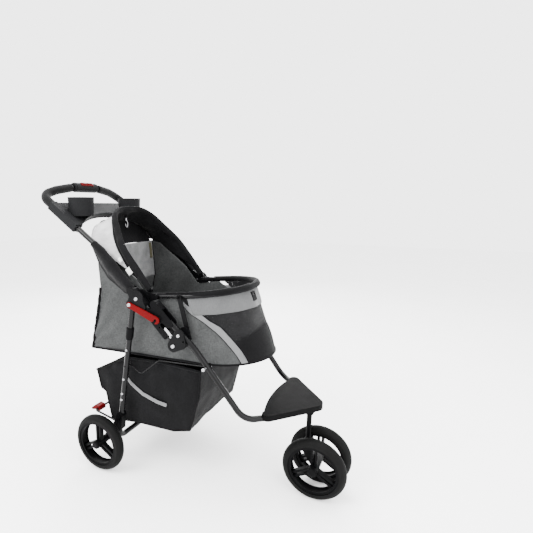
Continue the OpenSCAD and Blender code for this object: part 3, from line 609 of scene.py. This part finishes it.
for side, sign in SIDES:
    cloth_side = grid("cabin_side_cloth_" + side, side_rows(sign), HEATHER, "cabin_frame", 0.0022, fold=0.0016,
                      scale=26, seed=3 + sign)
    tape = grid("reflective_tape_" + side, tape_rows(sign), REFLECT, "cabin_frame", 0.0016, fold=0.0008,
                scale=60)
    # piping on both edges of the tape
    for edge, tab in (("rear", STRIPE_REAR), ("front", STRIPE_FRONT)):
        pts = [tub_point(table(tab, k / 40 * TAPE_TOP), k / 40 * TAPE_TOP, 1.6) for k in range(41)]
        if sign > 0:
            pts = mirrored(pts)
        tube("tape_piping_%s_%s" % (edge, side), pts, 0.0012, BIND, "cabin_frame", 8)

front = grid("cabin_front_mesh", front_mesh_rows(), MESH, "cabin_frame", 0.0008, fold=0.002, scale=16)
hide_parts("front_mesh")


def band_rows():
    """The light band below the rim, round the front."""
    nu, nv, end = 120, 12, 14
    rows = []
    for i in range(nu + 1):
        s = lerp(end, 2 * FRONT_S - end, i / nu)
        row = []
        for j in range(nv + 1):
            w = j / nv
            v = lerp(0.74, 1.0, w)
            row.append(tub_point(s, v, 2.6 + 2.2 * math.sin(math.pi * w) + 1.2 * math.sin(s * 0.09)))
        rows.append(row)
    return rows


band = grid("cabin_rim_band", band_rows(), SILVER, "cabin_frame", 0.0016, fold=0.0016, scale=30)
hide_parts("rim_band")


def back_rows(z0, z1, nv, half=TUB_Y, inset=0.0):
    """Part of the back wall between two heights, bowed a little backwards."""
    rows = []
    for i in range(61):
        y = lerp(-half, half, i / 60)
        row = []
        for j in range(nv + 1):
            z = lerp(z0, z1, j / nv)
            bow = 7 * math.cos(math.pi * y / (2 * TUB_Y)) * math.sin(math.pi * min(1, (z - 400) / 230))
            row.append(sp(back_x(z) - bow + inset, z, y))
        rows.append(row)
    return rows


# grey cloth below the sill, mesh window above it
back = grid("cabin_back_cloth", back_rows(404, SILL_Z, 40), HEATHER, "cabin_frame", 0.0022, fold=0.004, scale=14,
            seed=5)
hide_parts("cabin_shell")
window = grid("cabin_rear_mesh_window", back_rows(SILL_Z, SEAM_Z, 24, 161, 2), WINDOW, "cabin_frame", 0.0008,
              fold=0.003, scale=12, seed=2)


def back_point(z, y, inset):
    return sp(back_x(z) + inset, z, y)


for side, sign in SIDES:
    pts = [back_point(lerp(SILL_Z, SEAM_Z - 2, k / 20), 160 * sign, 3) for k in range(21)]
    tube("window_seam_" + side, pts, 0.0022, BIND, "cabin_frame", 8)
window_tag = [[back_point(lerp(700, 762, k / 8), lerp(136, 154, j / 4), 5) for j in range(5)] for k in range(9)]
grid("olive_window_tag", window_tag, OLIVE, "cabin_frame", 0.0006, fold=0.001, scale=40)


def floor_rows():
    """The cloth under the board, from the back edge to the round front, sagging in the middle."""
    inside = 0.995
    rows = []
    for i in range(61):
        u = i / 60
        row = []
        for j in range(41):
            w = lerp(-1, 1, j / 40)
            x_end = CENTRE_LOW + math.sqrt(max(0.0, TUB_Y ** 2 - (w * TUB_Y * inside) ** 2)) * inside
            x = lerp(back_x(404), x_end, u)
            sag = 3 * math.sin(math.pi * u) * (1 - w * w)
            row.append(sp(x, floor_z(x) - 0.5 - sag, w * TUB_Y * inside))
        rows.append(row)
    return rows


under = grid("cabin_floor_cloth", floor_rows(), DARK, "cabin_frame", 0.002, fold=0.0012, scale=20)


def hem_line():
    """The tub's lower edge, 1 mm outside it, from the back round the front."""
    hem, arc = [], []
    for k in range(25):
        x = lerp(-94, CENTRE_LOW, k / 24)
        hem.append(sp(x, floor_z(x), -TUB_Y - 1))
    for k in range(1, 40):
        a = math.pi * k / 40
        arc.append(sp(CENTRE_LOW + (TUB_Y + 1) * math.sin(a), floor_z(CENTRE_LOW + TUB_Y * math.sin(a)),
                      -(TUB_Y + 1) * math.cos(a)))
    return hem + arc + mirrored(hem)[::-1]


# bindings: round the floor, down the back corners and along the back
tube("floor_hem_binding", even(hem_line(), 200), 0.0034, BIND, "cabin_frame", 10)
for side, sign in SIDES:
    pts = catmull([sp(back_x(z) - 2, z, TUB_Y * sign) for z in (402, 440, 500, 560, 628)], 40)
    tube("back_corner_binding_" + side, pts, 0.0052, BIND, "cabin_frame", 10,
                 radius=lambda t: 1 + 0.15 * math.sin(t * 40))
pts = [sp(back_x(404) - 1, 404, lerp(-TUB_Y, TUB_Y, k / 30)) for k in range(31)]
tube("back_hem_binding", pts, 0.004, BIND, "cabin_frame", 10)


RIM_Y = 168         # half width of the rim tube


def rim_line(x0, out, dz, n=90):
    """Line round the rim from x0 on one side to x0 on the other, out mm outside and dz mm above it."""
    y = RIM_Y + out
    pts = []
    for k in range(12):
        x = lerp(x0, CENTRE_TOP, k / 12)
        pts.append(sp(x, rim_z(x) + dz, -y))
    for k in range(n + 1):
        a = math.pi * k / n
        x = CENTRE_TOP + y * math.sin(a)
        pts.append(sp(x, rim_z(x) + dz, -y * math.cos(a)))
    for k in range(1, 13):
        x = lerp(CENTRE_TOP, x0, k / 12)
        pts.append(sp(x, rim_z(x) + dz, y))
    return pts


# the padding over the rim tube, and the tape of its zip
line = even(rim_line(176, -2, 4), 220)
pad = tube("rim_padding", line, 0.0115, DARK, "cabin_frame", 18, flat=0.95,
           radius=lambda t: 0.66 + 0.34 * smooth(math.sin(math.pi * t) * 2.6 - 1.2) + 0.05 * math.sin(t * 60))
line = even(rim_line(230, 1.5, 12), 200)
tube("rim_zip_tape", line, 0.0036, BIND, "cabin_frame", 10, flat=0.5)


# ---------------------------------------------------------------- canopy
HOOP_ANG = math.radians(50)     # the hoop's plane leans back by this much
HINGE = (172.0, 645.0)
HOOP_L = 334.0                  # from the hinge to the hoop's top
HOOP_Y = 172.0                  # half width
HOOP_R = 5.0                    # half thickness of the hoop's tube
STEPS = 160                     # points along the hoop and the rear wire


def rounded(pts, radii, n=12):
    """Polyline through points whose inner corners are rounded by arcs of the given radii."""
    out = [pts[0]]
    for a, b, c, radius in zip(pts, pts[1:], pts[2:], radii):
        u, v = (a - b).normalized(), (c - b).normalized()
        half = u.angle(v) / 2
        d = radius / math.tan(half)
        mid_p = b + (u + v).normalized() * (radius / math.sin(half))
        p, q = b + u * d, b + v * d
        for k in range(n + 1):
            e = p.lerp(q, k / n) - mid_p
            out.append(mid_p + e.normalized() * radius)
    return out + [pts[-1]]


def hoop_point(a, y):
    """Point in the hoop's plane, a mm from its hinge line and y mm off the middle."""
    return sp(HINGE[0] - a * math.cos(HOOP_ANG), HINGE[1] + a * math.sin(HOOP_ANG), y)


top_a, flank, corner = HOOP_L - HOOP_R, HOOP_L - HOOP_Y * 0.95 - HOOP_R, HOOP_Y * 0.55
hoop_corners = [(2, -HOOP_Y), (flank, -HOOP_Y), (top_a, -corner), (top_a, corner), (flank, HOOP_Y), (2, HOOP_Y)]
hoop_line = even(rounded([hoop_point(a, y) for a, y in hoop_corners], (0.16, 0.1, 0.1, 0.16)), STEPS)
half_wire = [(-62, 772, 166), (-76, 800, 163), (-90, 838, 128), (-97, 852, 70)]
wire_corners = [sp(x, z, -y) for x, z, y in half_wire] + [sp(-98, 855, 0)] + [sp(*p) for p in half_wire[::-1]]
wire_line = even(catmull(wire_corners, STEPS), STEPS)


def on_line(line, t):
    """Point on a line of STEPS + 1 points, t from 0 to 1."""
    i = int(t * STEPS)
    return line[min(STEPS, i)].lerp(line[min(STEPS, i + 1)], t * STEPS % 1)


def canopy_row(w, t0, t1, n):
    """Line of n + 1 points across the canopy, from t0 to t1 of its width, at w from the hoop (0) to the
    rear wire (1)."""
    row = []
    for k in range(n + 1):
        t = lerp(t0, t1, k / n)
        p = on_line(hoop_line, t).lerp(on_line(wire_line, t), w)
        crown = math.sin(math.pi * t) ** 1.5
        p.z += 0.010 * math.sin(math.pi * w) * crown
        outward = Vector((0, math.copysign(1, p.y) if abs(p.y) > 1e-6 else 0, 0)) * (1 - crown)
        p += outward * 0.003 * math.sin(math.pi * w)
        row.append(p)
    return row


ROOF = (0.36, 0.64)         # the roof's edges across the canopy
LOW_EDGE = (0.02, 0.98)     # its lower edges
roof = grid("canopy_roof_cloth", [canopy_row(i / 36, *ROOF, 90) for i in range(37)], DARK, "canopy", 0.0022,
            fold=0.003, scale=18, seed=1)
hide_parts("canopy_fabric")
for side, (t0, t1) in (("right", (LOW_EDGE[0], ROOF[0])), ("left", (ROOF[1], LOW_EDGE[1]))):
    band = grid("canopy_side_band_" + side, [canopy_row(i / 40, t0, t1, 70) for i in range(13)], DARK, "canopy",
                0.0018, fold=0.003, scale=18, seed=4)
    quarter_rows = [canopy_row(lerp(0.3, 1.0, i / 24), t0, t1, 70) for i in range(25)]
    quarter = grid("canopy_quarter_mesh_" + side, quarter_rows, WHITE_NET, "canopy", 0.0008, fold=0.003, scale=18,
                   seed=4)
for (side, _), t, low_t in zip(SIDES, ROOF, LOW_EDGE):
    pts = [canopy_row(i / 30, t, t, 1)[0] + Vector((0, 0, 0.001)) for i in range(31)]
    tube("canopy_roof_seam_" + side, pts, 0.0018, BIND, "canopy", 8)
    pts = [canopy_row(i / 30, low_t, low_t, 1)[0] for i in range(31)]
    tube("canopy_lower_hem_" + side, pts, 0.0022, BIND, "canopy", 8)


def lining_row(w):
    """Line of the black lining: inside the outer cloth, sagging a little between hoop and wire."""
    row = []
    n = 130
    for k, p in enumerate(canopy_row(w, 0.06, 0.97, n)):
        crown = math.sin(math.pi * k / n)
        across = -math.copysign(1, p.y) * min(1, abs(p.y) / 0.03)
        inward = Vector((0.30, across * (1 - crown * 0.5), -0.9 * crown))
        drop = 0.005 + 0.007 * math.sin(math.pi * w)
        row.append(p + inward.normalized() * drop)
    return row


lining = grid("canopy_lining", [lining_row(0.98 * (i / 40)) for i in range(41)], DARK, "canopy", 0.0012,
              fold=0.006, scale=15, seed=6)


def back_panel(w):
    """Line of the canopy's rear panel, at w from the rear wire (0) down to the cabin's back (1)."""
    row = []
    for k in range(81):
        t = lerp(*LOW_EDGE, k / 80)
        a = canopy_row(1.0, t, t, 1)[0]
        b = sp(-60, SEAM_Z, lerp(-161, 161, smooth(t)))
        p = a.lerp(b, w)
        p.x -= 0.006 * math.sin(math.pi * w)
        row.append(p)
    return row


rear_panel = grid("canopy_rear_panel", [back_panel(i / 24) for i in range(25)], DARK, None, 0.0014, fold=0.005,
                  scale=14, seed=8)
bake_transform(rear_panel)

# padded sleeve on the hoop, with piping on both edges
HOOP_SIDE = Vector((math.sin(HOOP_ANG), 0, math.cos(HOOP_ANG)))


def hoop_frame(line, i):
    """Outward direction in the hoop's own plane, at point i of a line along it."""
    a, b = line[max(i - 1, 0)], line[min(i + 1, len(line) - 1)]
    return HOOP_SIDE.cross((b - a).normalized()).normalized()


def sleeve_width(t):
    """Share of the sleeve's full width, which narrows towards both ends."""
    return 0.8 + 0.2 * smooth(math.sin(math.pi * t) * 3.2)


def sleeve_rows(line, half, thick, shift):
    """Oval rings along the line, slightly uneven as padding is."""
    rows = []
    n = len(line) - 1
    for i, p in enumerate(line):
        o = hoop_frame(line, i)
        t = i / n
        k = sleeve_width(t) * (1 + 0.04 * math.sin(t * 90) + 0.03 * math.sin(t * 47))
        ring = []
        for j in range(24):
            a = 2 * math.pi * j / 24
            ring.append(p + HOOP_SIDE * (half * k * math.cos(a) - shift)
                        + o * (thick * (0.8 + 0.2 * k) * math.sin(a)))
        rows.append(ring)
    return rows


line = even(hoop_line, 200)
sleeve = grid("canopy_hoop_sleeve", sleeve_rows(line, 0.0125, 0.0088, 0.002), DARK, "canopy", closed=True,
              fold=0.0016, scale=40)
for tag, off in (("front", 0.0105), ("rear", -0.0145)):
    pts = [p + HOOP_SIDE * off * sleeve_width(i / 200) for i, p in enumerate(line)]
    tube("canopy_hoop_piping_" + tag, pts, 0.0022, BIND, "canopy", 8)


# ---------------------------------------------------------------- gussets beside the handle tube
HANDLE_LINE = [(148, 620), (100, 667), (40, 727), (-3, 766), (-45, 797)]


def handle_side(u):
    """Point on the handle's side tube, u from the cabin pivot up to past its bend."""
    k = u * (len(HANDLE_LINE) - 1)
    i = min(len(HANDLE_LINE) - 2, int(k))
    (x0, z0), (x1, z1) = HANDLE_LINE[i:i + 2]
    return lerp(x0, x1, k - i), lerp(z0, z1, k - i)


def gusset_rows(sign):
    """Black cloth wrapped over the handle's side tube and sewn to the cabin's side."""
    wrap_x, wrap_y, nw = 0.0075, 0.0113, 8
    rows = []
    for i in range(61):
        u = i / 60
        hx, hz = handle_side(u * 0.92)
        # inner edge lies on the cabin's side, below and behind the tube
        ix = table([(0, 140), (0.3, 60), (0.55, -10), (0.8, -52), (1.0, -72)], u)
        iz = table([(0, 604), (0.3, 622), (0.55, 668), (0.8, 726), (1.0, 764)], u)
        row = []
        for j in range(25):
            w = j / 24
            x, z = lerp(hx, ix, w), lerp(hz, iz, w)
            y = lerp(211, 165.5, smooth(w)) + 3 * math.sin(math.pi * w)
            pull = 6 * math.sin(math.pi * w) * math.sin(math.pi * u)
            row.append(sp(x - pull * 0.3, z - pull, y * sign))
        # wrap over the tube
        for k in range(1, nw + 1):
            a = math.pi * 0.9 * k / nw
            lift = wrap_x * math.sin(a)
            row.insert(0, sp(hx, hz) + Vector((lift, sign * (0.2 + wrap_y * math.cos(a)), lift)))
        rows.append(row)
    return rows


for side, sign in SIDES:
    gusset = grid("handle_gusset_" + side, gusset_rows(sign), DARK, None, 0.0016, fold=0.0035, scale=24,
                  seed=9 + sign)
    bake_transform(gusset)


# ---------------------------------------------------------------- basket
BASKET_Y = 165.0        # half width
BACK_TOP, FRONT_TOP = (-78, 322), (350, 398)
TOP_LINE = [BACK_TOP, (-20, 352), (60, 388), (130, 397), (200, 400), (280, 400), FRONT_TOP]
LOW_LINE = [BACK_TOP, (-62, 256), (-40, 246), (-16, 145), (105, 160), (250, 168), (314, 187), (342, 300),
            FRONT_TOP]


def outline(points, n):
    """A side outline as n + 1 even points, in mm."""
    return even([Vector((x, 0, z)) for x, z in points], n)


def basket_side(sign):
    """Side cloth between the basket's top edge and its outline below, bellied outwards."""
    rows = []
    n = 110
    low, top = outline(LOW_LINE, n), outline(TOP_LINE, n)
    for i in range(n + 1):
        row = []
        for j in range(41):
            v = j / 40
            p = low[i].lerp(top[i], v)
            inside = math.sin(math.pi * v) ** 0.7 * math.sin(math.pi * i / n) ** 0.6
            y = BASKET_Y - 1 + 3.2 * inside
            y -= 12 * smooth((i / n - 0.80) / 0.2) * (1 - v) * 0.6
            y += (1.6 * math.sin(p.x * 0.045 + p.z * 0.03) * inside
                  + 2.0 * math.sin(p.x * 0.11) * math.exp(-((1 - v) / 0.12) ** 2))
            row.append(sp(p.x, p.z, y * sign))
        rows.append(row)
    return rows


for side, sign in SIDES:
    panel = grid("basket_side_cloth_" + side, basket_side(sign), DARK, "basket", 0.0018, fold=0.003, scale=20,
                 seed=7 + sign)
    if side == "right":
        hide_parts("basket_fabric")


LOW_STEPS = 150
low = outline(LOW_LINE, LOW_STEPS)


def bottom_rows():
    """The cloth across the basket, down its back, along its bottom and up its front."""
    rows = []
    for i, p in enumerate(low):
        t = i / LOW_STEPS
        d = (low[min(i + 1, LOW_STEPS)] - low[max(i - 1, 0)]).normalized()
        n = Vector((d.z, 0, -d.x))
        row = []
        for j in range(49):
            w = lerp(-1, 1, j / 48)
            slack = 5.0 * (1 - w * w) * (0.4 + 0.6 * math.sin(math.pi * t))
            q = p + n * (-slack if 0.22 < t < 0.75 else slack * 0.3)
            narrow = 12 * smooth((t - 0.72) / 0.28) * 0.5 * (1 - smooth((t - 0.9) / 0.1))
            row.append(sp(q.x, max(q.z, 143), w * (BASKET_Y - 0.5 - narrow)))
        rows.append(row)
    return rows


grid("basket_bottom_cloth", bottom_rows(), DARK, "basket", 0.0018, fold=0.003, scale=18, seed=12)


def cross_edge(corner, out, sag, sign, n=30):
    """Top edge across the basket, between its corners, bowed outwards and sagging."""
    pts = []
    for k in range(1, n):
        arch = math.sin(math.pi * k / n)
        pts.append(sp(corner[0] + out * arch, corner[1] - sag * arch, lerp(-BASKET_Y, BASKET_Y, k / n) * sign))
    return pts


# rolled top edge and piping of the basket
top = catmull([sp(x, z, -BASKET_Y - 1) for x, z in TOP_LINE], 120)
loop = top + cross_edge(FRONT_TOP, 2, 5, 1) + mirrored(top)[::-1] + cross_edge(BACK_TOP, -2, 6, -1)
tube("basket_top_binding", even(loop + [loop[0]], 300)[:-1], 0.0042, BIND, "basket", 10, close=True)
for side, sign in SIDES:
    pts = []
    for i, p in enumerate(low):
        t = i / LOW_STEPS
        tuck = 7 * smooth((t - 0.80) / 0.2) * (1 - smooth((t - 0.93) / 0.07))
        pts.append(sp(p.x, max(p.z, 144.5), (BASKET_Y + 0.6 - tuck) * sign))
    tube("basket_seam_piping_" + side, even(pts, 200), 0.0024, BIND, "basket", 8)


# ---------------------------------------------------------------- tags, clip, strips and bumper
def tag_rows(x, z, y, w, h):
    """A slanted tag, w by h mm, curled a little."""
    rows = []
    for a in range(7):
        u = a / 6 - 0.5
        row = []
        for b in range(9):
            v = b / 8 - 0.5
            row.append(sp(x + (u * w * 0.66 + v * h * 0.75), z + (-u * w * 0.75 + v * h * 0.66),
                          y - 1.2 * math.cos(u * 3) + 0.8 * math.sin(v * 4)))
        rows.append(row)
    return rows


TAGS = ((97, 700, -181, 24, 17), (60, 735, -179.5, 16, 12))
for i, tag in enumerate(TAGS, 1):
    grid("white_tag_%d" % i, tag_rows(*tag), WHITE, "canopy", 0.0006)


def tether():
    """Short strap under the roof's middle, with a hook clip on it."""
    start = canopy_row(0.30, 0.47, 0.53, 2)[1] + Vector((0, 0, -0.016))
    drop, hook_r = 0.0016, 0.012
    strap = [start + Vector((0, 0.004 * math.sin(k), -drop * k)) for k in range(8)]
    tube("tether_strap", strap, 0.0045, BIND, "canopy", 10, flat=0.25)
    end = strap[-1]
    hook = [end + Vector((0, 0.003 + hook_r / 2 * math.sin(i * 0.3), hook_r * (math.cos(i * 0.3) - 2)))
            for i in range(17)]
    tube("tether_clip_hook", hook, 0.0014, STEEL, "canopy", 10)
    body = [end + Vector((0, 0, -0.001 - drop * k)) for k in range(8)]
    tube("tether_clip_body", body, 0.0026, STEEL, "canopy", 12)


def strip_rows(sign):
    """Silver strip sewn on the basket's side."""
    rows = []
    for i in range(61):
        u = i / 60
        x = table([(0, 55), (0.2, 82), (0.45, 130), (0.75, 190), (1.0, 226)], u)
        z = table([(0, 333), (0.2, 305), (0.45, 276), (0.75, 262), (1.0, 258)], u)
        y = BASKET_Y + 8.5 + 0.6 * math.sin(u * 11)
        rows.append([sp(x + 0.9 * k, z + (k - 1.5) * 4.0, y * sign) for k in range(4)])
    return rows


def bumper_rows():
    """Dark panel low on the cabin's front, between the two tapes."""
    rows = []
    for i in range(91):
        u = i / 90
        top = 0.30 + 0.13 * math.sin(math.pi * u)
        row = []
        for j in range(15):
            v = top * (j / 14)
            a = table(STRIPE_FRONT, v) + 1
            row.append(tub_point(lerp(a, 2 * FRONT_S - a, u), v, 1.0 + 2.5 * math.sin(math.pi * j / 14)))
        rows.append(row)
    return rows


tether()
for side, sign in SIDES:
    strip = grid("basket_silver_strip_" + side, strip_rows(sign), REFLECT, "basket", 0.0012, fold=0.0012, scale=30,
                 seed=3)
bumper = grid("cabin_front_bumper", bumper_rows(), DARK, "cabin_frame", 0.002, fold=0.001, scale=22, seed=5)
